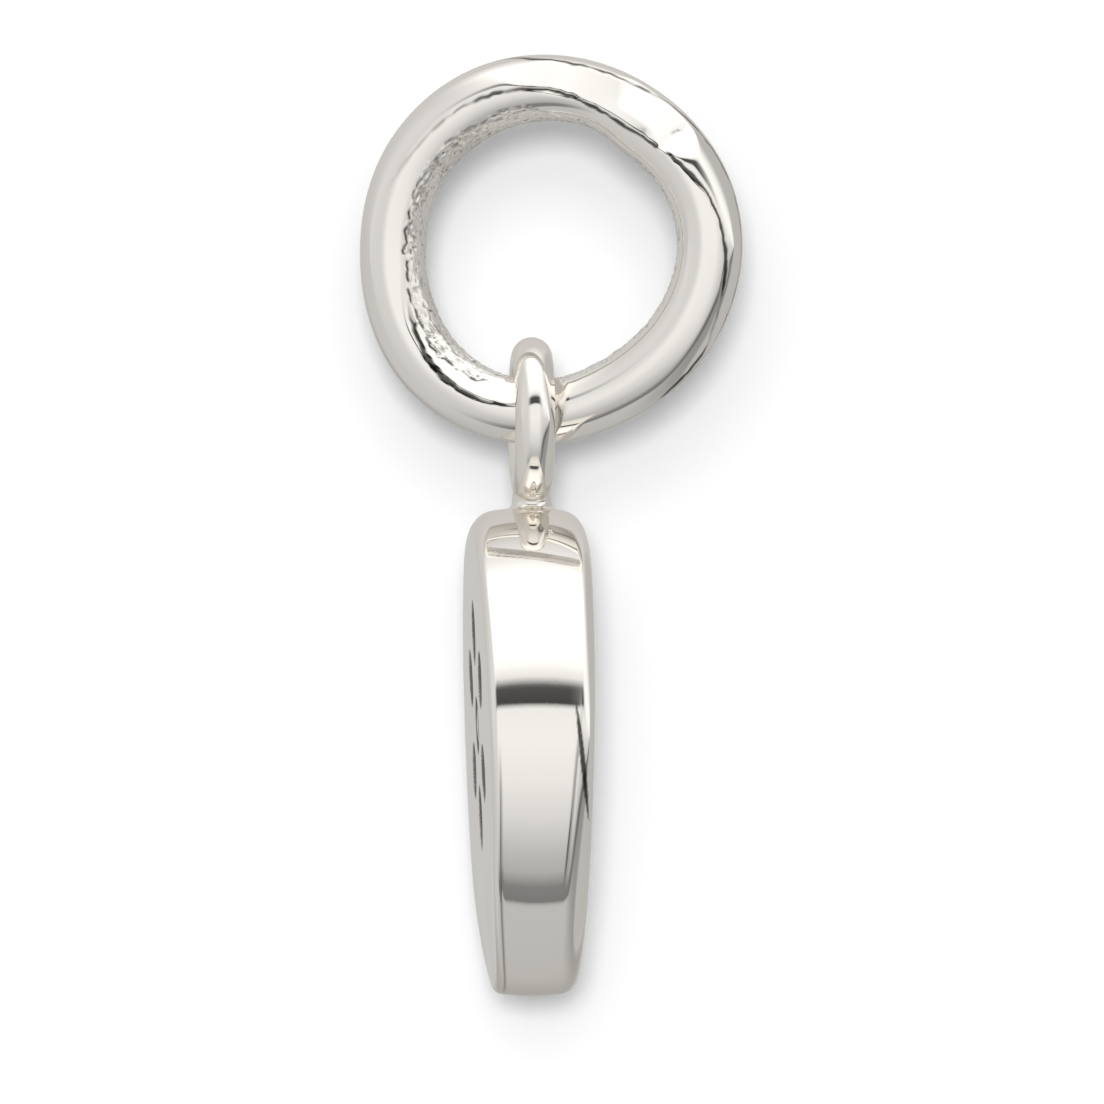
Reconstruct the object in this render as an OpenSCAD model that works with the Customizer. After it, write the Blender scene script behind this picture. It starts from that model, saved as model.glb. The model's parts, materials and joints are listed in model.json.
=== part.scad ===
/* [Jump ring] */
// Outside diameter of the jump ring
ring_od = 6.66; // [5.6:0.02:9]
// Thickness of the jump ring's wire
ring_wire = 1.1; // [0.8:0.02:1.3]
// Turn of the jump ring about the vertical as it hangs
ring_turn = -17; // [-20:1:20]
// Place of the soldered joint on the ring, in degrees up from its right side
joint_place = 52; // [35:1:80]
// How far the solder swells into the ring
joint_swell = 0.1; // [0.04:0.01:0.16]

/* [Loop] */
// Thickness of the loop's wire
loop_wire = 0.68; // [0.5:0.02:0.9]
// Free play of the ring's wire inside the loop
loop_play = 0.36; // [0.36:0.02:0.6]
// Running gap between the loop and the wire that it hangs on
hang_gap = 0.06; // [0.06:0.01:0.1]
// How far round the ring the loop hangs from its lowest point, in degrees
hang_slip = 7; // [-10:1:10]

/* [Neck] */
// Thickness of the soldered neck
neck_d = 0.68; // [0.5:0.02:0.9]
// Height of the neck between the loop and the disc
neck_h = 0.08; // [0.02:0.01:0.6]
// Radius of the solder where the neck meets the disc
neck_round = 0.1; // [0.04:0.01:0.2]

/* [Disc] */
// Diameter of the disc
disc_d = 8.3; // [7:0.1:12]
// Thickness of the disc at its middle
disc_thick = 1.74; // [1.3:0.02:2.4]
// Rounding between the rim and each face
edge_round = 0.3; // [0.1:0.02:0.36]
// How much further out the front face stands at its top than at its middle
front_lean = 0.16; // [0:0.01:0.24]
// How much further out the back face stands at its top than at its middle
back_lean = 0.07; // [0:0.01:0.24]
// How far the middle of the disc stands toward its front from the loop above it
disc_shift = 0.04; // [0:0.01:0.1]

/* [Rosette] */
// Number of sunk petals
petal_count = 6; // [4:1:8]
// Length of a petal from tip to tip
petal_len = 1.14; // [0.9:0.02:1.3]
// Width of a petal at its middle
petal_wide = 0.96; // [0.5:0.02:1]
// Distance from the middle of the rosette to a petal's inner tip
petal_start = 1; // [0.9:0.02:1.2]
// Depth of the petals and of the groove round the stud
petal_deep = 0.14; // [0.05:0.01:0.25]
// Diameter of the little stud in the middle of the rosette
stud_d = 0.7; // [0.4:0.02:0.9]
// Width of the groove round the stud
stud_groove = 0.14; // [0.06:0.01:0.2]
// Height of the middle of the rosette above the middle of the disc
rosette_rise = 0.45; // [0:0.05:0.6]

/* [Hidden] */
$fn = 96;

// The origin is the point at the top of the ring's hole, where the charm hangs
ring_r = ring_od / 2;
ring_mid_r = ring_r - ring_wire / 2;
ring_z = ring_wire - ring_r;

// The solder is a bead a little thicker than the wire and set inward by this share of the swelling
bead_share_in = 0.7;
bead_d = ring_wire + 2 * (1 - bead_share_in) * joint_swell;
bead_r = ring_mid_r - bead_share_in * joint_swell;

// The middle of the wire where the loop hangs, which is on the axis that the disc swings about
hang_side = -ring_mid_r * sin(hang_slip);
hang_x = hang_side * cos(ring_turn);
hang_y = hang_side * sin(ring_turn);
hang_z = ring_z - ring_mid_r * cos(hang_slip);

loop_hole_r = (ring_wire + loop_play) / 2;
loop_mid_r = loop_hole_r + loop_wire / 2;
loop_z = hang_z + ring_wire / 2 + hang_gap - loop_hole_r;
loop_low_z = loop_z - loop_mid_r - loop_wire / 2;

disc_r = disc_d / 2;
disc_half = disc_thick / 2;
disc_z = loop_low_z - neck_h - disc_r;
front_tilt = atan(front_lean / disc_r);
back_tilt = atan(back_lean / disc_r);

// The neck runs from the middle of the loop's wire to this far under the top of the rim
neck_root = 0.3;
neck_low_z = disc_z + disc_r - neck_root;

// The middle of the rounding between the round rim and the flat face. The rounding would stand past
// the rim by a hair, so that the two meet in a clean line
round_proud = 0.004;
round_x = disc_half - edge_round;
round_r = sqrt(pow(disc_r - edge_round + round_proud, 2) - pow(round_x, 2));
rim_angle = atan2(round_x, round_r);

petal_side_r = (pow(petal_len, 2) + pow(petal_wide, 2)) / (4 * petal_wide);
petal_side_off = petal_side_r - petal_wide / 2;

// What a cut reaches past the surface where it starts
over = 1;

// A ring of round wire about the Z axis
module wire_ring(mid_r, wire) {
    rotate_extrude() translate([mid_r, 0]) circle(d = wire);
}

module jump_ring() {
    color("silver")
    translate([0, 0, ring_z]) rotate([0, 0, ring_turn]) {
        rotate([90, 0, 0]) wire_ring(ring_mid_r, ring_wire);
        rotate([0, -joint_place, 0]) translate([bead_r, 0, 0]) sphere(d = bead_d);
    }
}

// The section through one side of the disc, about the Y axis: the flat face, the rounding, and past
// it a flare that lies outside the rim
module disc_section() {
    translate([0, -disc_thick]) square([round_r, disc_thick + disc_half]);
    translate([round_r, round_x]) circle(r = edge_round);
    polygon([[0, -disc_thick], [disc_d, -disc_thick], [disc_d, disc_d * tan(rim_angle)], [0, 0]]);
}

// The side of the disc that faces +X, with its face tilted out at the top
module disc_side(tilt) {
    rotate([0, 90 + tilt, 0]) rotate_extrude() disc_section();
}

// The rim is part of one big ball about the middle of the disc
module disc() {
    intersection() {
        rotate([0, 90, 0]) sphere(r = disc_r);
        disc_side(back_tilt);
        mirror([1, 0, 0]) disc_side(front_tilt);
    }
}

// One petal, pointing along +X from the middle of the rosette
module petal() {
    translate([petal_start + petal_len / 2, 0])
    intersection_for(side = [-1, 1])
        translate([0, side * petal_side_off]) circle(r = petal_side_r);
}

module rosette() {
    for (turn = [0 : petal_count - 1]) rotate(turn * 360 / petal_count) petal();
    difference() {
        circle(d = stud_d + 2 * stud_groove);
        circle(d = stud_d);
    }
}

// The rosette as the tool that sinks it into the front face
module rosette_cut() {
    rotate([0, -front_tilt, 0]) translate([-disc_half, 0, rosette_rise])
    rotate([0, -90, 0]) translate([0, 0, -petal_deep])
    linear_extrude(petal_deep + over) rosette();
}

module neck() {
    translate([0, 0, neck_low_z]) cylinder(d = neck_d, h = loop_z - loop_mid_r - neck_low_z);
    translate([0, 0, disc_z + disc_r - neck_round]) rotate_extrude() difference() {
        square([neck_d / 2 + neck_round, 2 * neck_round]);
        translate([neck_d / 2 + neck_round, 2 * neck_round]) circle(r = neck_round);
    }
}

module disc_charm() {
    color("gainsboro")
    translate([hang_x, hang_y, 0]) {
        translate([0, 0, loop_z]) rotate([0, 90, 0]) wire_ring(loop_mid_r, loop_wire);
        neck();
        translate([-disc_shift, 0, disc_z]) difference() {
            disc();
            rosette_cut();
        }
    }
}

jump_ring();
disc_charm();
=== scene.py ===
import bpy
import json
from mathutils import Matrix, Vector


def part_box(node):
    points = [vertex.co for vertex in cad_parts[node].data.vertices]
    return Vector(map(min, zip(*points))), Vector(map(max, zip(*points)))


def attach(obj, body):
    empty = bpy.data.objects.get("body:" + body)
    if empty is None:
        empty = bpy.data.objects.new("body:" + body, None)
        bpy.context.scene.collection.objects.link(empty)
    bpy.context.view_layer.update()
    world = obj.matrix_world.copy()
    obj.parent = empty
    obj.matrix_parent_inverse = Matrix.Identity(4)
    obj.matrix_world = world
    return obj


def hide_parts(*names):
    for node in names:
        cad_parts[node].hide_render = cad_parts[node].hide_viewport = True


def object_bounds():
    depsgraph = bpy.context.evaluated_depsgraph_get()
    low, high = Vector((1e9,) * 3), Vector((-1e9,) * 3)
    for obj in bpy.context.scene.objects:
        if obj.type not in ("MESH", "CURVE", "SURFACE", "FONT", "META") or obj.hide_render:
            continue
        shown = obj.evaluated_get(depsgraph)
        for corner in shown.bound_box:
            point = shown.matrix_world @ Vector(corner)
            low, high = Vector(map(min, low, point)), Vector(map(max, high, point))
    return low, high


bl_info = {
    "name": "Dangle charm",
    "version": (1, 0, 0),
    "blender": (4, 5, 0),
    "location": "View3D > Sidebar > Charm",
    "description": "A thick silver disc charm on its soldered jump ring, with a pale studio",
    "category": "Object",
}

import json
import math

import bpy
import bmesh
import numpy as np
from bpy.props import FloatProperty, FloatVectorProperty, IntProperty, PointerProperty
from mathutils import Vector

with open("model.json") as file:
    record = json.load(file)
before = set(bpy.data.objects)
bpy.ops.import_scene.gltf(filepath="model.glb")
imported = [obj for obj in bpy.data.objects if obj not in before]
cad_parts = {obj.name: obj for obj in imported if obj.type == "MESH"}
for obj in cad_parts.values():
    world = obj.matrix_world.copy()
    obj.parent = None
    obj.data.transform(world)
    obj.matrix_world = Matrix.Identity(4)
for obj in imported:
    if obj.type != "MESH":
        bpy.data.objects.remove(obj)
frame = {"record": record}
CAD_BOX = [list(corner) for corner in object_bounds()]

# Sizes are in metres, and MM turns the millimetres of the tables below into them
MM = 0.001

RING_LOW, RING_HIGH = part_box("jump_ring")
CHARM_LOW, CHARM_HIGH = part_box("disc_charm")
SWING = frame["record"]["behaviour"]["joints"][0]
HANG = Vector(SWING["pos_m"])
SWING_AXIS = Vector(SWING["axis"])

RING_OUT_R = (RING_HIGH[2] - RING_LOW[2]) / 2
RING_CENTRE = Vector((0, 0, (RING_HIGH[2] + RING_LOW[2]) / 2))
RING_TURN = math.atan2(SWING_AXIS.y, SWING_AXIS.x)

DISC_R = (CHARM_HIGH[1] - CHARM_LOW[1]) / 2
# How far the disc's middle stands toward its front from the loop above it
DISC_SHIFT = 0.04 * MM
DISC_CENTRE = Vector((HANG.x - DISC_SHIFT, HANG.y, CHARM_LOW[2] + DISC_R))

# How the ring was bent by hand: place round the ring in degrees, change of its radius and change of
# the wire's radius there in mm
RING_SHAPE = (
    (0, 0.0, 0.005),
    (20, 0.01, 0.0),
    (40, -0.065, 0.03),
    (56, -0.07, 0.012),
    (70, -0.036, -0.01),
    (90, -0.012, 0.006),
    (110, 0.02, 0.03),
    (130, 0.025, 0.034),
    (150, 0.038, 0.013),
    (180, -0.012, 0.003),
    (200, 0.03, 0.02),
    (220, 0.09, 0.03),
    (240, 0.07, 0.01),
    (262, 0.0, 0.0),
    (280, -0.09, 0.0),
    (290, -0.15, 0.0),
    (310, -0.155, 0.015),
    (330, -0.097, 0.015),
    (350, -0.03, 0.005),
)

# Where the wire was flattened: place round the ring and half length in degrees, the side of the wire
# that it faces in degrees from outward toward the front, depth in mm
RING_FLATS = (
    (67, 40, 70, 0.10),
    (51, 22, 61, 0.125),
    (232, 48, 126, 0.055),
)

# Every flat: the share of its half length over which it has its full depth, how far outside the round
# wire it lies past its ends, and over how much its edges are rounded
FLAT_FULL = 0.45
FLAT_CLEAR = 0.003 * MM
FLAT_BLEND = 0.01 * MM

# The soldered joint: how far its swelling reaches round the ring and round the wire in degrees. Its
# seam: half width, the side of the wire where its middle lies and its half length there, and its depth
SWELL_REACH = (12, 60)
SEAM_HALF_WIDTH = 0.7
SEAM_SIDE = 68
SEAM_HALF_LENGTH = 34
SEAM_DEPTH = 0.006 * MM

# Fine lines along the wire: shallow creases that filing and polishing left, each with a painted dark
# reflection of the studio's dark gaps along it. Each has its half width in degrees round the wire, its
# depth in mm, how dark its painted reflection is, and its points as place round the ring and side of
# the wire in degrees with the line's strength there
CREST_LINE = (2.7, 0.014, 1.5, (
    (-53, 12, 0.0),
    (-49, 13, 2.0),
    (-40, 15, 2.6),
    (-34, 17, 2.2),
    (-30, 20, 0.4),
    (-24, 32, 0.3),
    (-14, 40, 0.4),
    (-10, 42, 2.6),
    (0, 49, 3.0),
    (11, 59, 1.6),
    (19, 69, 2.4),
    (30, 86, 3.0),
    (36, 90, 2.6),
    (38, 94, 0.0),
    (40.5, 99, 0.0),
    (42, 101, 1.8),
    (60, 112, 1.8),
    (74, 107, 1.7),
    (85, 98, 1.4),
    (88, 96, 0.9),
    (103, 92, 1.1),
    (118, 89, 0.5),
    (146, 88, 0.2),
    (161, 77, 0.0),
))
OUTER_LINE = (2.4, 0.008, 1.1, (
    (-30, 0, 0.0),
    (-20, 2, 1.0),
    (0, 3, 0.7),
    (20, 5, 1.2),
    (40, 12, 1.3),
    (56, 24, 0.9),
    (66, 33, 1.0),
    (80, 36, 1.3),
    (95, 30, 1.5),
    (104, 12, 1.2),
    (112, 0, 0.0),
))
LOW_LINE = (3.4, 0.012, 1.4, (
    (200, 117, 0.0),
    (207, 115, 1.2),
    (215, 109, 1.5),
    (225, 101, 2.0),
    (240, 95, 2.0),
    (250, 97, 1.2),
    (259, 102, 0.6),
    (268, 106, 0.0),
))

# The unpolished wall inside the ring: the sides of the wire where it begins and ends, how much sooner
# it begins along its wide part, the place round the ring of that part's middle, and how far from there
# it starts to narrow and is narrow, all in degrees
WALL_START = 148
WALL_END = 236
WIDE_EXTRA = 24
WIDE_PLACE = 168
WIDE_FADE = (68, 84)

# Radius of the rounding of the disc's front and back edges in mm, by the angle from the disc's top
EDGE_ROUNDS = (
    (0, 0.47, 0.47),
    (15, 0.40, 0.45),
    (32, 0.18, 0.27),
    (80, 0.18, 0.25),
    (90, 0.16, 0.34),
    (112, 0.13, 0.44),
    (122, 0.12, 0.48),
    (150, 0.14, 0.52),
    (165, 0.17, 0.42),
    (180, 0.16, 0.30),
)

# Each fine line beside a rounding is a shallow groove with a painted dark reflection along it
# Where the fine lines beside the front and the back rounding begin and end, by the same angle, and
# how long each takes to begin and to end
LINE_ENDS = ((84, 176), (74, 126))
LINE_FADES = (16, 12)

# The distance of those lines from the rounding, their half width and their depth
LINE_GAP = 0.012 * MM
LINE_HALF_WIDTH = 0.02 * MM
LINE_DEPTH = 0.008 * MM

# The painted dark reflection in a wedge beside the back edge, on the side that is seen: the angle
# from the disc's top in degrees, and the place toward the back and the half width, both in mm
PAINTED_REFLECTION_WEDGE = (
    (77, 0.545, 0.003),
    (83, 0.600, 0.034),
    (92, 0.667, 0.044),
    (99, 0.720, 0.034),
    (106, 0.775, 0.006),
)

# Mesh points over the rounding of each edge, from there to the middle of the rim, from the middle of
# the ornament to its margin, from there to the front's edge, and from the back's edge to its middle.
# Each counts both ends
FRONT_ROUND_POINTS = 16
BACK_ROUND_POINTS = 18
RIM_POINTS = 18
MOTIF_POINTS = 88
PLAIN_POINTS = 9
BACK_POINTS = 7

# The studio as the silver mirrors it in the middle, to the left and to the right: the turn of the
# direction in degrees, which is 0 toward the camera, 90 overhead, 180 behind the charm and -90 straight
# down, and the brightness there. The values began as the photograph's tones by mirrored direction, and
# were then changed
STUDIO_MIDDLE = (
    (-180, 0.62),
    (-165, 0.44),
    (-150, 0.47),
    (-135, 0.53),
    (-79, 0.55),
    (-76.5, 0.52),
    (-74.5, 0.21),
    (-66, 0.24),
    (-58, 0.46),
    (-47, 0.55),
    (-32, 0.73),
    (-13, 0.89),
    (6, 0.97),
    (17, 0.95),
    (22, 0.93),
    (23.4, 0.065),
    (32, 0.09),
    (36.5, 0.88),
    (44, 1.15),
    (60, 1.3),
    (92, 1.3),
    (104, 0.99),
    (112, 0.86),
    (118, 0.78),
    (125, 0.66),
    (150, 0.68),
    (180, 0.62),
)
STUDIO_LEFT = (
    (-180, 0.60),
    (-90, 0.61),
    (-45, 0.66),
    (0, 0.71),
    (45, 0.76),
    (75, 0.74),
    (110, 0.68),
    (180, 0.60),
)
STUDIO_RIGHT = (
    (-180, 0.52),
    (-165, 0.36),
    (-150, 0.33),
    (-90, 0.30),
    (-76, 0.20),
    (-70, 0.14),
    (-58, 0.17),
    (-48, 0.40),
    (-38, 0.58),
    (-15, 0.68),
    (5, 0.74),
    (22, 0.88),
    (60, 1.1),
    (100, 1.0),
    (150, 0.66),
    (180, 0.52),
)

# The brightness that the cards' colours are measured against
BRIGHTEST = 1.4

# Where the studios at the sides take over from the middle one, by how far a direction points to the
# right, from -1 to 1. At the first number they begin to show, and past the second they alone show
STUDIO_SIDES = (
    (STUDIO_LEFT, -0.4, -0.75),
    (STUDIO_RIGHT, 0.25, 0.7),
)

# The lamps that throw the shadow: azimuth, elevation and the angle that each fills, in degrees
KEY_LAMP = (-3.8, 1.5, 3.2)
FILL_LAMP = (-4.1, 5.1, 12)


def smooth_step(low, high, value):
    """0 below low, 1 above high and a smooth rise between."""
    share = np.clip((value - low) / (high - low), 0.0, 1.0)
    return share * share * (3.0 - 2.0 * share)


def angle_gap(angle, place):
    """How far an angle is from a place round a circle, both in degrees."""
    return (angle - place + 180.0) % 360.0 - 180.0


def lattice_noise(across, along, cells_across, cells_along, seed):
    """Smooth noise from -1 to 1 over two numbers that run from 0 to 1 and meet end to end."""
    values = np.random.default_rng(seed).uniform(-1, 1, (cells_across, cells_along))
    a = (across % 1.0) * cells_across
    b = (along % 1.0) * cells_along
    a0 = np.floor(a).astype(int) % cells_across
    b0 = np.floor(b).astype(int) % cells_along
    a1 = (a0 + 1) % cells_across
    b1 = (b0 + 1) % cells_along
    fa = smooth_step(0, 1, a - np.floor(a))
    fb = smooth_step(0, 1, b - np.floor(b))
    low = values[a0, b0] * (1 - fa) + values[a1, b0] * fa
    high = values[a0, b1] * (1 - fa) + values[a1, b1] * fa
    return low * (1 - fb) + high * fb


def soft_min(a, b, blend):
    """The smaller of two lengths, with the corner between them rounded over blend."""
    share = np.clip(0.5 + 0.5 * (b - a) / blend, 0.0, 1.0)
    return b * (1 - share) + a * share - blend * share * (1 - share)


def round_table(table, column, places, blur):
    """A column of a table by place round a circle in degrees, drawn smooth over blur degrees."""
    known = np.array(table)
    fine = np.arange(0, 360, 0.5)
    values = np.interp(fine, known[:, 0], known[:, column], period=360)
    weights = np.exp(-(angle_gap(fine, 0) / blur) ** 2)
    smooth = np.real(np.fft.ifft(np.fft.fft(values) * np.fft.fft(weights / weights.sum())))
    return np.interp(places, fine, smooth, period=360)


def new_object(name, data):
    """A new object of a mesh, a lamp or a camera, in the scene."""
    piece = bpy.data.objects.new(name, data)
    bpy.context.scene.collection.objects.link(piece)
    return piece


def grid_mesh(name, points, closed_rows, caps=None):
    """A mesh from rows of points, each row a closed loop. Rows may close on the first one too, and
    caps gives one point that closes the first row and one that closes the last."""
    rows, columns = points.shape[:2]
    index = np.arange(rows * columns).reshape(rows, columns)
    low = index if closed_rows else index[:-1]
    high = np.roll(index, -1, axis=0) if closed_rows else index[1:]
    quads = np.stack((low, np.roll(low, -1, axis=1), np.roll(high, -1, axis=1), high), axis=-1)
    corners = points.reshape(-1, 3).tolist()
    faces = quads.reshape(-1, 4).tolist()
    for row, cap in zip((index[0], index[-1][::-1]), caps or ()):
        centre = len(corners)
        corners.append(list(cap))
        faces += [[int(row[(k + 1) % columns]), int(row[k]), centre] for k in range(columns)]
    mesh = bpy.data.meshes.new(name)
    mesh.from_pydata(corners, [], faces)
    work = bmesh.new()
    work.from_mesh(mesh)
    bmesh.ops.recalc_face_normals(work, faces=work.faces)
    work.to_mesh(mesh)
    work.free()
    mesh.shade_smooth()
    return mesh


def mark(mesh, name, values):
    """Keeps one number a corner point on the mesh, for the materials to read."""
    layer = mesh.attributes.new(name, "FLOAT", "POINT")
    layer.data.foreach_set("value", np.asarray(values, dtype=np.float32).ravel())


def corner_points(mesh):
    """The mesh's corner points as rows of three numbers."""
    flat = np.empty(len(mesh.vertices) * 3)
    mesh.vertices.foreach_get("co", flat)
    return flat.reshape(-1, 3)


class RingSizes(bpy.types.PropertyGroup):
    wire: FloatProperty(
        name="Wire", description="Thickness of the ring's wire", default=1.1 * MM, unit="LENGTH",
        precision=5)
    joint_place: FloatProperty(
        name="Joint place", description="Place of the soldered joint up from the ring's right side",
        default=math.radians(54), subtype="ANGLE")
    joint_swell: FloatProperty(
        name="Joint swelling", description="How far the solder swells into the ring",
        default=0.06 * MM, unit="LENGTH", precision=5)
    seam_place: FloatProperty(
        name="Seam place", description="Place of the line where the wire's ends meet",
        default=math.radians(39), subtype="ANGLE")
    filed_depth: FloatProperty(
        name="File marks", description="Depth of the marks on the unpolished inner wall",
        default=0.014 * MM, unit="LENGTH", precision=6)
    around: IntProperty(name="Points around", description="Mesh points round the ring", default=560)
    across: IntProperty(name="Points across", description="Mesh points round the wire", default=176)


class CharmSizes(bpy.types.PropertyGroup):
    disc_thick: FloatProperty(
        name="Disc thickness", description="Thickness of the disc at its middle",
        default=1.74 * MM, unit="LENGTH", precision=5)
    front_lean: FloatProperty(
        name="Front lean", description="How much further out the front face stands at its top",
        default=0.16 * MM, unit="LENGTH", precision=5)
    back_lean: FloatProperty(
        name="Back lean", description="How much further out the back face stands at its top",
        default=0.07 * MM, unit="LENGTH", precision=5)
    loop_wire: FloatProperty(
        name="Loop wire", description="Thickness of the loop's wire", default=0.68 * MM, unit="LENGTH",
        precision=5)
    neck_d: FloatProperty(
        name="Neck", description="Thickness of the soldered neck", default=0.68 * MM, unit="LENGTH",
        precision=5)
    neck_h: FloatProperty(
        name="Neck height", description="Height of the neck between the loop and the disc",
        default=0.08 * MM, unit="LENGTH", precision=5)
    around: IntProperty(name="Points around", description="Mesh points round the disc", default=480)


class RosetteSizes(bpy.types.PropertyGroup):
    count: IntProperty(name="Petals", description="Number of sunk petals", default=6)
    length: FloatProperty(
        name="Petal length", description="Length of a petal", default=1.14 * MM, unit="LENGTH", precision=5)
    wide: FloatProperty(
        name="Petal width", description="Width of a petal", default=0.96 * MM, unit="LENGTH", precision=5)
    start: FloatProperty(
        name="Petal start", description="Distance from the middle to a petal's inner tip",
        default=1.0 * MM, unit="LENGTH", precision=5)
    deep: FloatProperty(
        name="Depth", description="Depth of the petals and the groove", default=0.14 * MM, unit="LENGTH",
        precision=5)
    stud: FloatProperty(
        name="Stud", description="Diameter of the stud in the middle", default=0.7 * MM, unit="LENGTH",
        precision=5)
    groove: FloatProperty(
        name="Groove", description="Width of the groove round the stud", default=0.14 * MM, unit="LENGTH",
        precision=5)
    rise: FloatProperty(
        name="Rise", description="Height of the rosette's middle above the disc's middle",
        default=0.45 * MM, unit="LENGTH", precision=5)


class SilverFinish(bpy.types.PropertyGroup):
    colour: FloatVectorProperty(
        name="Silver", description="Colour of the polished silver", size=3, subtype="COLOR",
        default=(0.925, 0.895, 0.85), min=0, max=1)
    # This dark colour is the patina in the sunk and unpolished places, and also paints the dark reflections
    # along the fine lines and in the wedge beside the disc's back edge
    dark_tint: FloatVectorProperty(
        name="Tarnish", description="Colour in the sunk and unpolished places", size=3, subtype="COLOR",
        default=(0.10, 0.092, 0.082), min=0, max=1)
    polish: FloatProperty(
        name="Roughness", description="Roughness of the polished silver", default=0.02, min=0, max=1)


class StudioLook(bpy.types.PropertyGroup):
    floor_colour: FloatVectorProperty(
        name="Floor", description="Colour of the floor and the backdrop", size=3, subtype="COLOR",
        default=(0.86, 0.86, 0.86), min=0, max=1)
    floor_drop: FloatProperty(
        name="Floor drop", description="How far the floor lies under the charm", default=5 * MM,
        unit="LENGTH")
    backdrop_gap: FloatProperty(
        name="Backdrop gap", description="How far the backdrop stands behind the charm, out of its swing",
        default=6.1 * MM, unit="LENGTH", precision=5)
    glow: FloatProperty(name="Backdrop glow", description="Light of the backdrop's own", default=0.1)
    floor_glow: FloatProperty(name="Floor glow", description="Light of the floor's own", default=0.6)
    brightness: FloatProperty(name="Brightness", description="Strength of the mirrored light", default=1.0)
    even_light: FloatProperty(
        name="Even light", description="Strength of the even light on the stage", default=0.2)
    right_narrowing: FloatProperty(
        name="Right narrowing", description="How much the cards draw together to the right", default=1.5)
    key_power: FloatProperty(name="Key lamp", description="Power of the small lamp", default=0.82)
    fill_power: FloatProperty(name="Fill lamp", description="Power of the wide lamp", default=0.54)


# Pieces of silver


def wire_line(rows, width, place, side):
    """How strong a fine line of these rows and this half width is at each point of the wire, from 0
    to 1. It wavers a little, and grows fainter and wider in places."""
    known = np.array(rows)
    middle = known[:, 0].mean()
    turned = angle_gap(place, middle) + middle
    line_side = np.interp(turned, known[:, 0], known[:, 1])
    line_side = line_side + 1.6 * lattice_noise(place / 360, side * 0, 150, 3, seed=8)
    strength = np.interp(turned, known[:, 0], known[:, 2], left=0, right=0)
    whole = smooth_step(-0.7, 0.0, lattice_noise(place / 360, side * 0, 80, 3, seed=12))
    strength = strength * (0.5 + 0.5 * whole)
    swelling = 1 + 0.35 * lattice_noise(place / 360, side * 0, 110, 3, seed=17)
    return np.minimum(strength * np.exp(-(angle_gap(side, line_side) / (width * swelling)) ** 2), 1)


def joint_share(sizes, place, side):
    """How much of the joint's swelling each point of the wire has, from 0 to 1."""
    joint = angle_gap(place, math.degrees(sizes.joint_place))
    along, across = SWELL_REACH
    return np.exp(-(joint / along) ** 2) * np.exp(-(angle_gap(side, 180) / across) ** 2)


def seam_share(sizes, place, side):
    """How deep in the joint's wavering seam each point of the wire lies, from 0 to 1."""
    seam_line = math.degrees(sizes.seam_place) + 1.6 * np.sin(np.radians(side * 2))
    seam_line = seam_line + 1.2 * lattice_noise(place * 0, side / 360, 3, 30, seed=2)
    ends = np.exp(-(angle_gap(side, SEAM_SIDE) / SEAM_HALF_LENGTH) ** 4)
    return np.exp(-(angle_gap(place, seam_line) / SEAM_HALF_WIDTH) ** 2) * ends


def filed_wall(place, side):
    """The unpolished wall inside the ring, as four shares: the wall itself, its file marks that go up
    and down, its pits, and the worn line along its ragged border."""
    turn, across = place / 360, side / 360
    ragged = 5 * lattice_noise(turn, side * 0 + 0.3, 90, 4, seed=3)
    ragged = ragged + 3 * lattice_noise(turn, side * 0 + 0.6, 240, 4, seed=36)
    wide_part = 1 - smooth_step(*WIDE_FADE, np.abs(angle_gap(place, WIDE_PLACE)))
    past_start = side - (WALL_START - WIDE_EXTRA * wide_part) - ragged
    wall = smooth_step(-3, 4, past_start) * smooth_step(-4, 4, WALL_END - side)
    marks = 0.7 * lattice_noise(turn, across, 270, 60, seed=5)
    marks += 0.6 * lattice_noise(turn + 0.37, across, 90, 120, seed=9)
    pits = smooth_step(0.72, 0.98, lattice_noise(turn, across, 260, 60, seed=21))
    # The border's line lies just inside the wall, is fainter over the ring's top and has gaps
    border = np.exp(-((past_start - 2) / 2.4) ** 2) * wide_part
    border *= 0.45 + 0.55 * smooth_step(150, 176, place)
    border *= smooth_step(-0.5, 0.3, lattice_noise(turn, side * 0, 130, 3, seed=31))
    return wall, marks, pits, border


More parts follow.
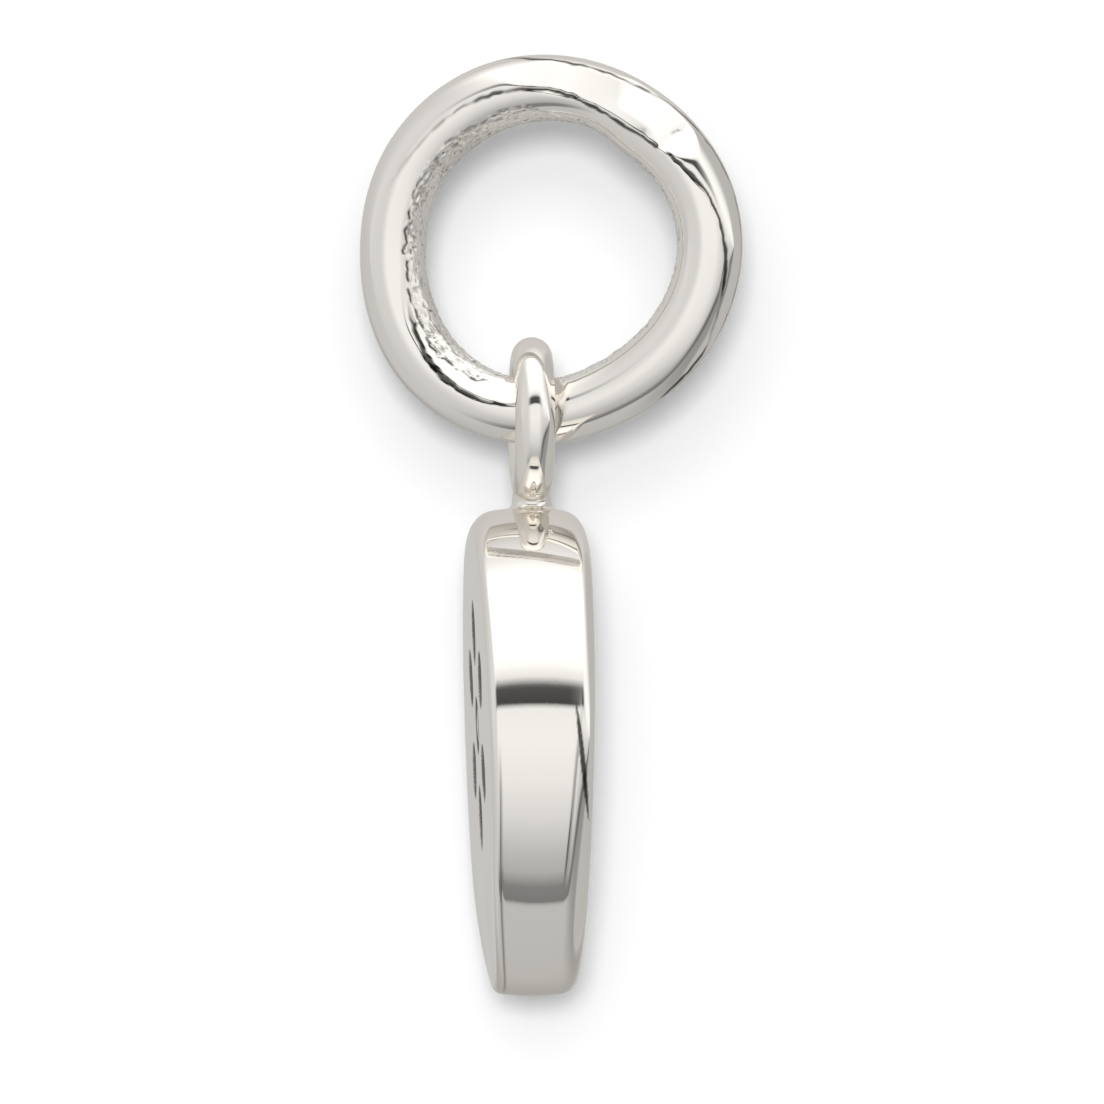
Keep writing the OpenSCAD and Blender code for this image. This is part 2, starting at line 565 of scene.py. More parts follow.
def ring_points(sizes):
    """The ring's surface, as rows round the ring and columns round the wire, with how unpolished and
    how dark each point is."""
    place = np.linspace(0, 360, sizes.around, endpoint=False)[:, None]
    side = np.linspace(0, 360, sizes.across, endpoint=False)[None, :]
    wire_r = sizes.wire / 2
    blur = 8
    radius = RING_OUT_R - wire_r + MM * round_table(RING_SHAPE, 1, place, blur)
    wire_r = wire_r + MM * round_table(RING_SHAPE, 2, place, blur)

    out = wire_r + 0 * side
    steepest = 75
    for flat, reach, face, depth in RING_FLATS:
        cut = depth * MM * (1 - smooth_step(FLAT_FULL, 1.0, np.abs(angle_gap(place, flat)) / reach))
        turn = np.radians(np.clip(np.abs(angle_gap(side, face)), 0, steepest))
        out = soft_min(out, (wire_r + FLAT_CLEAR - cut) / np.cos(turn), FLAT_BLEND)

    swell = joint_share(sizes, place, side)
    out += sizes.joint_swell * swell
    out -= SEAM_DEPTH * seam_share(sizes, place, side)

    lines = 0
    # Each line is cut as a crease, and its darkness is a painted reflection of the studio's dark gaps
    for width, depth, dark, rows in (CREST_LINE, OUTER_LINE, LOW_LINE):
        share = wire_line(rows, width, place, side)
        out -= depth * MM * share
        lines = np.maximum(lines, dark * share)

    wall, marks, pits, border = filed_wall(place, side)
    filed = wall * (1 - 0.9 * swell)
    pits = np.maximum(pits, 0.5 * border)
    out += sizes.filed_depth * filed * (marks - 1.8 * pits)
    streaks = smooth_step(0.35, 0.8, -marks)
    # Darkness: the filed wall's pits, streaks and border, and the painted dark reflections along the lines
    darkness = np.clip(filed * (pits + 0.4 * streaks) + border + lines, 0, 1)

    right = np.array((math.cos(RING_TURN), math.sin(RING_TURN), 0))
    front = np.array((math.sin(RING_TURN), -math.cos(RING_TURN), 0))
    up = np.array((0, 0, 1))
    spoke = np.cos(np.radians(place))[..., None] * right + np.sin(np.radians(place))[..., None] * up
    reach = radius + out * np.cos(np.radians(side))
    rise = out * np.sin(np.radians(side))
    points = np.array(RING_CENTRE) + reach[..., None] * spoke + rise[..., None] * front
    return points, filed, darkness


def round_sizes(angle):
    """The radii of the rounding of the front and back edges at an angle from the disc's top."""
    table = np.array(EDGE_ROUNDS)
    at = np.abs(angle_gap(angle, 0))
    whole = np.concatenate((table, table[-2:0:-1] * (-1, 1, 1) + (360, 0, 0)))
    return round_table(whole, 1, at, 6) * MM, round_table(whole, 2, at, 6) * MM


def rounding_centre(half, slope, edge_round):
    """The middle of the rounding that touches the ball of the rim and one tilted face, in the plane
    through the disc's axis: its distance from the axis and its depth toward the face. It lies one
    radius of the rounding inside both, and a quadratic gives its distance."""
    reach = DISC_R - edge_round
    lean = np.sqrt(1 + slope ** 2)
    base = half - edge_round * lean
    a = 1 + slope ** 2
    b = 2 * base * slope
    c = base ** 2 - reach ** 2
    out = (-b + np.sqrt(b ** 2 - 4 * a * c)) / (2 * a)
    return out, base + slope * out


def edge_line(angle, past, first, last):
    """How strong the fine line beside a rounding is on the rim, by the angle from the disc's top and
    the distance past the rounding. It runs between two angles."""
    at = np.abs(angle_gap(angle, 0))
    begin, end = LINE_FADES
    along = smooth_step(first, first + begin, at) * (1 - smooth_step(last - end, last, at))
    return along * np.exp(-((past - LINE_GAP) / LINE_HALF_WIDTH) ** 2)


def disc_half(angle, half, lean, edge_round, line_ends, round_points):
    """One side's section at each angle: out from the axis and toward the face, from the face's edge
    over the rounding to the middle of the rim."""
    slope = lean / DISC_R * np.cos(np.radians(angle))
    mid_out, mid_deep = rounding_centre(half, slope, edge_round)
    face_turn = np.arctan2(1, -slope)
    rim_turn = np.arctan2(mid_deep, mid_out)
    share = np.linspace(0, 1, round_points)[:, None]
    turn = face_turn + (rim_turn - face_turn) * share
    out = [mid_out + edge_round * np.cos(turn)]
    deep = [mid_deep + edge_round * np.sin(turn)]
    crowding = 1.8
    share = np.linspace(0, 1, RIM_POINTS)[1:, None] ** crowding
    turn = rim_turn * (1 - share)
    groove = LINE_DEPTH * edge_line(angle, DISC_R * (rim_turn - turn), *line_ends)
    out.append((DISC_R - groove) * np.cos(turn))
    deep.append((DISC_R - groove) * np.sin(turn))
    return np.concatenate(out), np.concatenate(deep)


def petal_gap(across, up, rosette):
    """How far a point of the front face lies outside the nearest petal, in metres."""
    side_r = (rosette.length ** 2 + rosette.wide ** 2) / (4 * rosette.wide)
    side_off = side_r - rosette.wide / 2
    best = np.full(across.shape, np.inf)
    for turn in range(rosette.count):
        angle = 2 * math.pi * turn / rosette.count
        along = across * math.sin(angle) + up * math.cos(angle) - rosette.start - rosette.length / 2
        beside = across * math.cos(angle) - up * math.sin(angle)
        gap = np.hypot(along, np.abs(beside) + side_off) - side_r
        best = np.minimum(best, gap)
    return best


def sunk_depth(across, up, rosette):
    """How deep the ornament is sunk at a point of the front face."""
    petal_wall, petal_lip = 0.1 * MM, 0.012 * MM
    groove_wall, groove_lip = 0.04 * MM, 0.01 * MM
    stud_dome = 0.03 * MM
    petals = 1 - smooth_step(-petal_wall, petal_lip, petal_gap(across, up, rosette))
    middle = np.hypot(across, up)
    stud_r = rosette.stud / 2
    groove_r = stud_r + rosette.groove
    groove = smooth_step(stud_r - groove_lip, stud_r + groove_wall, middle) * (
        1 - smooth_step(groove_r - groove_wall, groove_r + groove_lip, middle))
    dome = stud_dome * np.clip(middle / stud_r, 0, 1) ** 2 * (middle < stud_r)
    return rosette.deep * np.maximum(petals, groove) + dome


def drawn_in(across, up, deep, half):
    """How far the front face is worn back toward its foot, for points in the disc's own frame."""
    most = 0.09 * MM
    angle = np.degrees(np.arctan2(across, up))
    reach = np.hypot(across, up) / DISC_R
    foot = smooth_step(120, 168, np.abs(angle)) * smooth_step(0.55, 1.0, reach)
    return most * foot * smooth_step(0.1, 0.45, -deep / half)


def disc_mesh(charm, rosette):
    """The disc as one closed mesh, without the neck and the loop."""
    angle = np.linspace(0, 360, charm.around, endpoint=False)[None, :]
    half = charm.disc_thick / 2
    front_round, back_round = round_sizes(angle)
    front_ends, back_ends = LINE_ENDS
    front_out, front_deep = disc_half(
        angle, half, charm.front_lean, front_round, front_ends, FRONT_ROUND_POINTS)
    back_out, back_deep = disc_half(
        angle, half, charm.back_lean, back_round, back_ends, BACK_ROUND_POINTS)
    out = np.concatenate((front_out, back_out[-2::-1]))
    deep = np.concatenate((-front_deep, back_deep[-2::-1]))
    sine, cosine = np.sin(np.radians(angle)), np.cos(np.radians(angle))
    band = np.stack((deep, -out * sine, out * cosine), axis=-1)

    margin = 0.1 * MM
    motif_r = rosette.start + rosette.length + margin
    radii = np.linspace(0, motif_r, MOTIF_POINTS)[1:, None]
    motif = np.stack((np.zeros_like(radii * sine), -radii * sine, rosette.rise + radii * cosine), axis=-1)
    share = np.linspace(0, 1, PLAIN_POINTS)[1:-1, None, None]
    plain = motif[-1][None] * (1 - share) + band[0][None] * share
    face = np.concatenate((motif, plain))
    slope = charm.front_lean / DISC_R
    across, up = -face[..., 1], face[..., 2]
    face[..., 0] = -(half + slope * up) + sunk_depth(across, up - rosette.rise, rosette)

    share = np.linspace(1, 0, BACK_POINTS)[1:-1, None, None]
    back = band[-1][None] * share
    back[..., 0] = half + charm.back_lean / DISC_R * back[..., 2]
    points = np.concatenate((face, band, back))
    points[..., 0] += drawn_in(points[..., 1], points[..., 2], points[..., 0], half)
    points += np.array(DISC_CENTRE)
    front_cap = np.array(DISC_CENTRE) + (-(half + slope * rosette.rise), 0, rosette.rise)
    back_cap = np.array(DISC_CENTRE) + (half, 0, 0)
    return grid_mesh("disc_blank", points, False, (front_cap, back_cap))


def loop_mesh(charm):
    """The loop as a ring of round wire standing in the disc's plane."""
    points_around, points_across = 224, 56
    wire_r = charm.loop_wire / 2
    top = CHARM_HIGH[2]
    low = DISC_CENTRE.z + DISC_R + charm.neck_h
    mid_r = (top - low) / 2 - wire_r
    around = np.linspace(0, 2 * math.pi, points_around, endpoint=False)[:, None]
    across = np.linspace(0, 2 * math.pi, points_across, endpoint=False)[None, :]
    reach = mid_r + wire_r * np.cos(across)
    points = np.stack((
        wire_r * np.sin(across) + 0 * around, reach * np.sin(around), reach * np.cos(around)), axis=-1)
    points += np.array((HANG.x, HANG.y, (top + low) / 2))
    return grid_mesh("loop_blank", points, True)


def neck_mesh(charm):
    """The solder between loop and disc, which runs out in a hollow curve at its foot. It starts deep
    in the disc, and a little of the curve is sunk in the rim."""
    flare = 0.1 * MM
    root = 0.3 * MM
    sunk = 0.02 * MM
    top_taper = 0.9
    curve_steps = 8
    points_around = 96
    top_z = DISC_CENTRE.z + DISC_R
    neck_r = charm.neck_d / 2
    heights = []
    radii = []
    for step in range(curve_steps + 1):
        turn = math.radians(90 * step / curve_steps)
        heights.append(top_z - sunk + flare * (1 - math.cos(turn)))
        radii.append(neck_r + flare * (1 - math.sin(turn)))
    heights = [top_z - root] + heights + [top_z + charm.neck_h + charm.loop_wire / 2]
    radii = [radii[0]] + radii + [neck_r * top_taper]
    turn = np.linspace(0, 2 * math.pi, points_around, endpoint=False)[None, :]
    radii = np.array(radii)[:, None]
    heights = np.array(heights)[:, None] + 0 * turn
    points = np.stack((radii * np.cos(turn), radii * np.sin(turn), heights), axis=-1)
    points[..., 0] += HANG.x
    points[..., 1] += HANG.y
    caps = [(HANG.x, HANG.y, row[0][2]) for row in (points[0], points[-1])]
    return grid_mesh("neck_blank", points, False, caps)


def join_solid(base, others):
    """Unites closed meshes into the base object, as solder does."""
    for mesh in others:
        tool = new_object(mesh.name, mesh)
        cut = base.modifiers.new("solder", "BOOLEAN")
        cut.operation = "UNION"
        cut.solver = "MANIFOLD"
        cut.object = tool
        depsgraph = bpy.context.evaluated_depsgraph_get()
        merged = bpy.data.meshes.new_from_object(base.evaluated_get(depsgraph))
        base.modifiers.clear()
        old = base.data
        base.data = merged
        bpy.data.meshes.remove(old)
        bpy.data.objects.remove(tool)
        bpy.data.meshes.remove(mesh)
    base.data.shade_smooth()


def sunk_share(points, charm, rosette):
    """How far each point of the charm lies down in the ornament, from 0 to 1."""
    spot = points - np.array(DISC_CENTRE)
    slope = charm.front_lean / DISC_R
    depth = spot[:, 0] + charm.disc_thick / 2 + slope * spot[:, 2]
    near = np.hypot(spot[:, 1], spot[:, 2] - rosette.rise) < rosette.start + rosette.length
    return np.where(near & (spot[:, 0] < 0), np.clip(depth / rosette.deep, 0, 1), 0)


def edge_line_share(points, charm):
    """How dark the painted dark reflections along the lines beside the roundings make each point of the
    charm, from 0 to 1.
    """
    spot = points - np.array(DISC_CENTRE)
    half = charm.disc_thick / 2
    spot[:, 0] -= drawn_in(spot[:, 1], spot[:, 2], spot[:, 0], half)
    angle = np.degrees(np.arctan2(-spot[:, 1], spot[:, 2]))
    near = 0.02 * MM
    on_rim = np.abs(np.linalg.norm(spot, axis=1) - DISC_R) < near
    share = 0
    leans = (charm.front_lean, charm.back_lean)
    for side, lean, rounding, ends in zip((-1, 1), leans, round_sizes(angle), LINE_ENDS):
        mid_out, mid_deep = rounding_centre(half, lean / DISC_R * np.cos(np.radians(angle)), rounding)
        turn = np.arctan2(side * spot[:, 0], np.hypot(spot[:, 1], spot[:, 2]))
        past = DISC_R * (np.arctan2(mid_deep, mid_out) - turn)
        share = np.maximum(share, edge_line(angle, past, *ends) * on_rim)
    return share


def wedge_share(points):
    """How dark the wedge's painted dark reflection makes each point of the charm, from 0 to 1."""
    blur = 0.01 * MM
    spot = points - np.array(DISC_CENTRE)
    angle = np.degrees(np.arctan2(-spot[:, 1], spot[:, 2]))
    known = np.array(PAINTED_REFLECTION_WEDGE)
    middle = np.interp(angle, known[:, 0], known[:, 1]) * MM
    half = np.interp(angle, known[:, 0], known[:, 2], left=0, right=0) * MM
    gap = np.abs(spot[:, 0] - middle) - half
    return (half > 0) * (1 - smooth_step(-blur, blur, gap))


def darkness_share(points, sunk, charm):
    """How dark each point of the charm is, from 0 to 1. The sunk walls are dark with patina, and the
    floors less so. The fine lines beside the roundings carry a fainter painted dark reflection, and the
    wedge beside the back edge a full one."""
    dark_tint = 0.9 * smooth_step(0.0, 0.06, sunk) * (1 - 0.6 * smooth_step(0.8, 1.0, sunk))
    # Painted dark reflection along the grooves beside the roundings, and in the wedge beside the back edge
    lines = 0.6 * edge_line_share(points, charm)
    return np.maximum.reduce((dark_tint, lines, wedge_share(points)))


# Finishes


def math_node(nodes, links, operation, *values):
    """The result of a math node over sockets and plain numbers."""
    node = nodes.new("ShaderNodeMath")
    node.operation = operation
    for socket, value in zip(node.inputs, values):
        if isinstance(value, bpy.types.NodeSocket):
            links.new(value, socket)
        else:
            socket.default_value = value
    return node.outputs[0]


def polish_group():
    """Fine wear that all the silver shares: cloudy polish, hair scratches and soft unevenness."""
    group = bpy.data.node_groups.new("silver_polish", "ShaderNodeTree")
    defaults = {"Grain scale": 900.0, "Low roughness": 0.04, "High roughness": 0.09, "Scratch depth": 0.1}
    for name, value in defaults.items():
        socket = group.interface.new_socket(name=name, in_out="INPUT", socket_type="NodeSocketFloat")
        socket.default_value = value
    for name in ("Roughness", "Height"):
        group.interface.new_socket(name=name, in_out="OUTPUT", socket_type="NodeSocketFloat")
    nodes, links = group.nodes, group.links
    start = nodes.new("NodeGroupInput")
    end = nodes.new("NodeGroupOutput")
    place = nodes.new("ShaderNodeTexCoord")

    cloud = nodes.new("ShaderNodeTexNoise")
    cloud.inputs["Detail"].default_value = 4
    links.new(place.outputs["Object"], cloud.inputs["Vector"])
    links.new(start.outputs["Grain scale"], cloud.inputs["Scale"])

    spread = nodes.new("ShaderNodeMapRange")
    spread.inputs["From Min"].default_value = 0.35
    spread.inputs["From Max"].default_value = 0.7
    links.new(cloud.outputs["Fac"], spread.inputs["Value"])
    links.new(start.outputs["Low roughness"], spread.inputs["To Min"])
    links.new(start.outputs["High roughness"], spread.inputs["To Max"])
    links.new(spread.outputs["Result"], end.inputs["Roughness"])

    stretch = nodes.new("ShaderNodeMapping")
    stretch.inputs["Scale"].default_value = (9.0, 1.2, 0.9)
    stretch.inputs["Rotation"].default_value = (0.5, 0.3, 0.7)
    links.new(place.outputs["Object"], stretch.inputs["Vector"])
    hairs = nodes.new("ShaderNodeTexNoise")
    hairs.inputs["Scale"].default_value = 3200
    hairs.inputs["Detail"].default_value = 2
    links.new(stretch.outputs["Vector"], hairs.inputs["Vector"])
    thin = nodes.new("ShaderNodeMapRange")
    thin.inputs["From Min"].default_value = 0.60
    thin.inputs["From Max"].default_value = 0.72
    links.new(hairs.outputs["Fac"], thin.inputs["Value"])
    depth = math_node(nodes, links, "MULTIPLY", thin.outputs["Result"], start.outputs["Scratch depth"])
    links.new(depth, end.inputs["Height"])


def silver_material(name, finish, crumb_scale, crumb_depth, dull_roughness):
    """Polished silver that turns dull and crumbly where the mesh is marked rough, and mixes toward the
    dark tint where it is marked dark: patina in the sunk and unpolished places, and painted dark
    reflections along the fine lines and in the wedge beside the disc's back edge."""
    material = bpy.data.materials.new(name)
    material.use_nodes = True
    nodes, links = material.node_tree.nodes, material.node_tree.links
    shader = nodes["Principled BSDF"]
    shader.inputs["Metallic"].default_value = 1.0
    shader.inputs["Specular Tint"].default_value = (*finish.colour, 1)

    polish = nodes.new("ShaderNodeGroup")
    polish.node_tree = bpy.data.node_groups["silver_polish"]
    polish.inputs["Low roughness"].default_value = finish.polish
    polish.inputs["High roughness"].default_value = finish.polish + 0.035
    share = nodes.new("ShaderNodeAttribute")
    share.attribute_name = "rough"
    # The dark mark holds patina and painted dark reflections alike
    darkening_share = nodes.new("ShaderNodeAttribute")
    darkening_share.attribute_name = "dark"

    place = nodes.new("ShaderNodeTexCoord")
    crumb = nodes.new("ShaderNodeTexNoise")
    crumb.inputs["Scale"].default_value = crumb_scale
    crumb.inputs["Detail"].default_value = 6
    crumb.inputs["Roughness"].default_value = 0.65
    links.new(place.outputs["Object"], crumb.inputs["Vector"])

    tint = nodes.new("ShaderNodeMix")
    tint.data_type = "RGBA"
    tint.inputs["A"].default_value = (*finish.colour, 1)
    tint.inputs["B"].default_value = (*finish.dark_tint, 1)
    links.new(darkening_share.outputs["Fac"], tint.inputs["Factor"])
    links.new(tint.outputs["Result"], shader.inputs["Base Color"])

    dull = nodes.new("ShaderNodeMix")
    dull.data_type = "FLOAT"
    dull.inputs["B"].default_value = dull_roughness
    links.new(polish.outputs["Roughness"], dull.inputs["A"])
    links.new(share.outputs["Fac"], dull.inputs["Factor"])
    links.new(dull.outputs["Result"], shader.inputs["Roughness"])

    crumb_bump = nodes.new("ShaderNodeBump")
    crumb_bump.inputs["Distance"].default_value = crumb_depth
    crumb_bump.inputs["Strength"].default_value = 1.0
    crumbs = math_node(nodes, links, "MULTIPLY", share.outputs["Fac"], crumb.outputs["Fac"])
    links.new(crumbs, crumb_bump.inputs["Height"])
    hair_bump = nodes.new("ShaderNodeBump")
    hair_bump.inputs["Distance"].default_value = 0.002 * MM
    hair_bump.inputs["Strength"].default_value = 1.0
    hair_bump.invert = True
    links.new(polish.outputs["Height"], hair_bump.inputs["Height"])
    links.new(crumb_bump.outputs["Normal"], hair_bump.inputs["Normal"])
    links.new(hair_bump.outputs["Normal"], shader.inputs["Normal"])
    return material


def plain_material(name, colour, glow):
    """Matt paper for the stage, with a glow that the camera alone sees. From behind it is clear, so
    that it hides nothing."""
    material = bpy.data.materials.new(name)
    material.use_nodes = True
    nodes, links = material.node_tree.nodes, material.node_tree.links
    shader = nodes["Principled BSDF"]
    shader.inputs["Base Color"].default_value = (*colour, 1)
    shader.inputs["Roughness"].default_value = 0.9
    shader.inputs["Specular IOR Level"].default_value = 0.0
    shader.inputs["Emission Color"].default_value = (1, 1, 1, 1)
    path = nodes.new("ShaderNodeLightPath")
    lit = math_node(nodes, links, "MULTIPLY", path.outputs["Is Camera Ray"], glow)
    links.new(lit, shader.inputs["Emission Strength"])
    clear = nodes.new("ShaderNodeBsdfTransparent")
    facing = nodes.new("ShaderNodeNewGeometry")
    both = nodes.new("ShaderNodeMixShader")
    links.new(facing.outputs["Backfacing"], both.inputs["Fac"])
    links.new(shader.outputs["BSDF"], both.inputs[1])
    links.new(clear.outputs["BSDF"], both.inputs[2])
    links.new(both.outputs["Shader"], nodes["Material Output"].inputs["Surface"])
    return material


# The studio


def studio_card(nodes, links, turn, table):
    """The brightness that a studio table gives at a turn, as a colour. The turn runs from 0 to 1."""
    cards = nodes.new("ShaderNodeValToRGB")
    cards.color_ramp.interpolation = "LINEAR"
    while len(cards.color_ramp.elements) < len(table):
        cards.color_ramp.elements.new(0.5)
    for element, (angle, value) in zip(cards.color_ramp.elements, table):
        element.position = (angle + 180) / 360
        element.color = (value / BRIGHTEST, value / BRIGHTEST, value / BRIGHTEST, 1)
    links.new(turn, cards.inputs["Fac"])
    return cards.outputs["Color"]


def side_share(nodes, links, across, start, full):
    """A smooth share from 0 to 1 by how far a direction points to one side."""
    share = nodes.new("ShaderNodeMapRange")
    share.interpolation_type = "SMOOTHSTEP"
    share.inputs["From Min"].default_value = start
    share.inputs["From Max"].default_value = full
    links.new(across, share.inputs["Value"])
    return share.outputs["Result"]


def studio_cards(nodes, links, look):
    """The colour of the mirrored studio in each direction. To the right, what lies above and below
    draws together."""
    place = nodes.new("ShaderNodeTexCoord")
    parts = nodes.new("ShaderNodeSeparateXYZ")
    links.new(place.outputs["Generated"], parts.inputs[0])
    across = parts.outputs["X"]

    toward = math_node(nodes, links, "MULTIPLY", parts.outputs["Y"], -1)
    turn = math_node(nodes, links, "ARCTAN2", parts.outputs["Z"], toward)
    to_right = side_share(nodes, links, across, 0.4, 1.0)
    narrowing = math_node(nodes, links, "MULTIPLY_ADD", to_right, look.right_narrowing, 1.0)
    spread = nodes.new("ShaderNodeMapRange")
    spread.inputs["From Min"].default_value = -math.pi
    spread.inputs["From Max"].default_value = math.pi
    links.new(math_node(nodes, links, "MULTIPLY", turn, narrowing), spread.inputs["Value"])

    cards = studio_card(nodes, links, spread.outputs["Result"], STUDIO_MIDDLE)
    for table, start, full in STUDIO_SIDES:
        side = nodes.new("ShaderNodeMix")
        side.data_type = "RGBA"
        links.new(side_share(nodes, links, across, start, full), side.inputs["Factor"])
        links.new(cards, side.inputs["A"])
        links.new(studio_card(nodes, links, spread.outputs["Result"], table), side.inputs["B"])
        cards = side.outputs["Result"]
    return cards


def even_background(nodes, strength):
    """White light of one strength from every direction."""
    background = nodes.new("ShaderNodeBackground")
    background.inputs["Color"].default_value = (1, 1, 1, 1)
    background.inputs["Strength"].default_value = strength
    return background.outputs[0]


def mixed_backgrounds(nodes, links, share, first, second):
    """Two backgrounds mixed, with the second one where the share is 1."""
    mixed = nodes.new("ShaderNodeMixShader")
    links.new(share, mixed.inputs["Fac"])
    links.new(first, mixed.inputs[1])
    links.new(second, mixed.inputs[2])
    return mixed.outputs[0]


def studio_world(look):
    """Soft studio light all round, which the silver mirrors as pale cards with thin dark gaps. The
    matt stage gets an even light from it, and the camera sees it white."""
    world = bpy.data.worlds.new("pale_studio")
    bpy.context.scene.world = world
    world.use_nodes = True
    world.cycles.sampling_method = "NONE"
    nodes, links = world.node_tree.nodes, world.node_tree.links
    nodes.clear()

    mirrored = nodes.new("ShaderNodeBackground")
    mirrored.inputs["Strength"].default_value = BRIGHTEST * look.brightness
    links.new(studio_cards(nodes, links, look), mirrored.inputs["Color"])
    path = nodes.new("ShaderNodeLightPath")
    off_paper = math_node(nodes, links, "LESS_THAN", path.outputs["Diffuse Depth"], 0.5)
    by_silver = math_node(nodes, links, "MULTIPLY", path.outputs["Is Glossy Ray"], off_paper)
    light = mixed_backgrounds(
        nodes, links, by_silver, even_background(nodes, look.even_light), mirrored.outputs[0])
    shown = mixed_backgrounds(
        nodes, links, path.outputs["Is Camera Ray"], light, even_background(nodes, 1.0))
    links.new(shown, nodes.new("ShaderNodeOutputWorld").inputs["Surface"])


def soft_lamp(name, azimuth, elevation, spread, power):
    """A round lamp that lights the stage alone, by the direction that it stands in as the charm sees
    it and the angle that it fills, all in degrees."""
    distance = 0.4
    data = bpy.data.lights.new(name, "AREA")
    data.shape = "DISK"
    data.size = 2 * distance * math.tan(math.radians(spread / 2))
    data.energy = power
    lamp = new_object(name, data)
    turn, rise = math.radians(azimuth), math.radians(elevation)
    aim = Vector((math.sin(turn) * math.cos(rise), -math.cos(turn) * math.cos(rise), math.sin(rise)))
    lamp.location = Vector((0, 0, (CHARM_LOW[2] + RING_HIGH[2]) / 2)) + aim * distance
    lamp.rotation_euler = aim.to_track_quat("Z", "Y").to_euler()
    lamp.visible_glossy = False
    lamp.visible_camera = False


def flat_sheet(name, corners, material):
    """A sheet of the stage between four corners, which the silver doesn't mirror."""
    mesh = bpy.data.meshes.new(name)
    mesh.from_pydata([list(corner) for corner in corners], [], [(0, 1, 2, 3)])
    sheet = new_object(name, mesh)
    mesh.materials.append(material)
    sheet.visible_glossy = False


def studio_camera():
    """The camera at the photograph's angle: level, a little to the left of the disc's edge. The scale
    and the pixel where the part's origin lies are measured in the photograph."""
    frame_pixels = 1104
    middle_pixel = 552
    origin_pixel = (551, 119)
    pixels_per_mm = 58.9
    azimuth = math.radians(-3.4)
    distance = 0.26
    across = (middle_pixel - origin_pixel[0]) / pixels_per_mm * MM
    down = (middle_pixel - origin_pixel[1]) / pixels_per_mm * MM
    right = Vector((math.cos(azimuth), math.sin(azimuth), 0))
    back = Vector((math.sin(azimuth), -math.cos(azimuth), 0))
    data = bpy.data.cameras.new("camera")
    data.sensor_width = 36
    data.lens = data.sensor_width * distance / (frame_pixels / pixels_per_mm * MM)
    data.clip_start = 0.01
    data.clip_end = 10
    camera = new_object("camera", data)
    camera.location = Vector((0, 0, -down)) + right * across + back * distance
    camera.rotation_euler = (math.radians(90), 0, azimuth)
    bpy.context.scene.camera = camera


class CHARM_OT_jump_ring(bpy.types.Operator):
    """Makes the jump ring: heavy round wire, bent and soldered by hand"""
    bl_idname = "charm.jump_ring"
    bl_label = "Jump ring"

    def execute(self, context):
        sizes = context.scene.charm_ring
        points, filed, darkness = ring_points(sizes)
        mesh = grid_mesh("jump_ring_wire", points, True)
        mark(mesh, "rough", filed)
        mark(mesh, "dark", darkness)
        ring = new_object("jump_ring_wire", mesh)
        mesh.materials.append(silver_material(
            "ring_silver_wire", context.scene.charm_finish,
            crumb_scale=9000, crumb_depth=0.01 * MM, dull_roughness=0.14))
        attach(ring, "ring")
        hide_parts("jump_ring")
        return {"FINISHED"}


class CHARM_OT_disc_charm(bpy.types.Operator):
    """Makes the charm: disc, neck and loop soldered into one, with the sunk rosette"""
    bl_idname = "charm.disc_charm"
    bl_label = "Disc charm"

    def execute(self, context):
        charm, rosette = context.scene.charm_sizes, context.scene.charm_rosette
        disc = new_object("disc_charm_body", disc_mesh(charm, rosette))
        join_solid(disc, [neck_mesh(charm), loop_mesh(charm)])
        points = corner_points(disc.data)
        sunk = sunk_share(points, charm, rosette)
        mark(disc.data, "rough", sunk)
        mark(disc.data, "dark", darkness_share(points, sunk, charm))
        disc.data.materials.clear()
        disc.data.materials.append(silver_material(
            "charm_silver_body", context.scene.charm_finish,
            crumb_scale=14000, crumb_depth=0.006 * MM, dull_roughness=0.3))
        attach(disc, "charm")
        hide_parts("disc_charm")
        return {"FINISHED"}


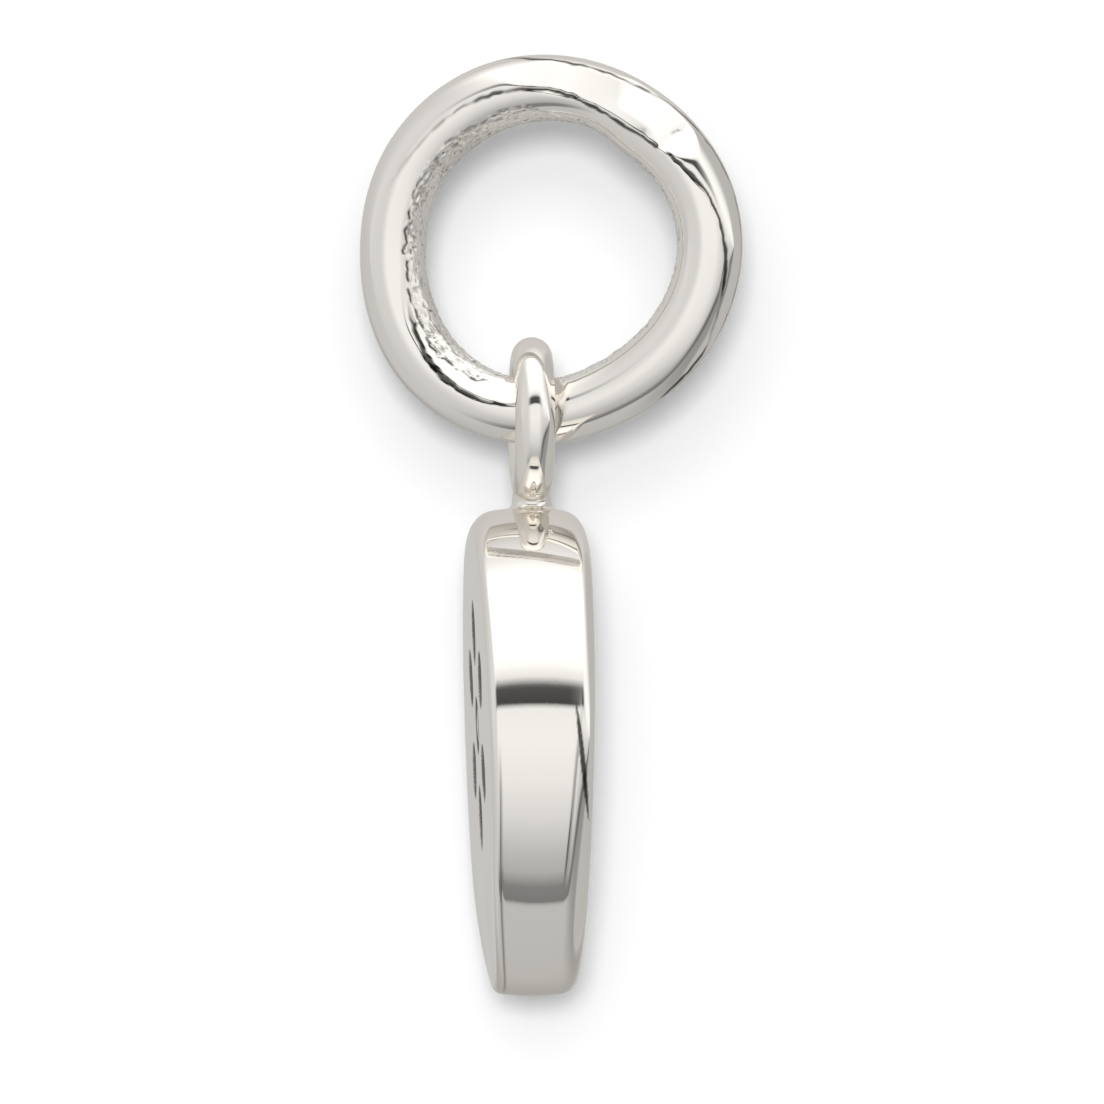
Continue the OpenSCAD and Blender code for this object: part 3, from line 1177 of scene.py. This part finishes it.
class CHARM_OT_studio(bpy.types.Operator):
    """Sets the stage: pale floor and backdrop, soft studio light and the camera"""
    bl_idname = "charm.studio"
    bl_label = "Studio"

    def execute(self, context):
        look = context.scene.charm_studio
        floor_z = CAD_BOX[0][2] - look.floor_drop
        wall_y = CAD_BOX[1][1] + look.backdrop_gap
        floor_half = 0.12
        wall_half = 0.03
        wall_top = 0.03
        flat_sheet("floor", (
            (-floor_half, -floor_half, floor_z), (floor_half, -floor_half, floor_z),
            (floor_half, floor_half, floor_z), (-floor_half, floor_half, floor_z)),
            plain_material("floor_paper", look.floor_colour, look.floor_glow))
        flat_sheet("backdrop", (
            (-wall_half, wall_y, floor_z), (wall_half, wall_y, floor_z),
            (wall_half, wall_y, wall_top), (-wall_half, wall_y, wall_top)),
            plain_material("backdrop_paper", look.floor_colour, look.glow))
        studio_world(look)
        soft_lamp("key_lamp", *KEY_LAMP, look.key_power)
        soft_lamp("fill_lamp", *FILL_LAMP, look.fill_power)
        studio_camera()
        context.scene.view_settings.view_transform = "Standard"
        return {"FINISHED"}


class CHARM_PT_sidebar(bpy.types.Panel):
    """Lists the pieces and the sizes that can be changed"""
    bl_label = "Dangle charm"
    bl_idname = "CHARM_PT_sidebar"
    bl_space_type = "VIEW_3D"
    bl_region_type = "UI"
    bl_category = "Charm"

    def draw(self, context):
        for operator in OPERATORS:
            self.layout.operator(operator.bl_idname)
        for group in PROPERTY_NAMES:
            values = getattr(context.scene, group)
            box = self.layout.box()
            for name in values.__annotations__:
                box.prop(values, name)


OPERATORS = (CHARM_OT_jump_ring, CHARM_OT_disc_charm, CHARM_OT_studio)
PROPERTY_NAMES = {
    "charm_ring": RingSizes,
    "charm_sizes": CharmSizes,
    "charm_rosette": RosetteSizes,
    "charm_finish": SilverFinish,
    "charm_studio": StudioLook,
}
CLASSES = (*PROPERTY_NAMES.values(), *OPERATORS, CHARM_PT_sidebar)


def register():
    for item in CLASSES:
        bpy.utils.register_class(item)
    for name, group in PROPERTY_NAMES.items():
        setattr(bpy.types.Scene, name, PointerProperty(type=group))


def unregister():
    for name in PROPERTY_NAMES:
        delattr(bpy.types.Scene, name)
    for item in reversed(CLASSES):
        bpy.utils.unregister_class(item)


def main():
    register()
    polish_group()
    bpy.ops.charm.jump_ring()
    bpy.ops.charm.disc_charm()
    bpy.ops.charm.studio()


if __name__ == "__main__":
    main()
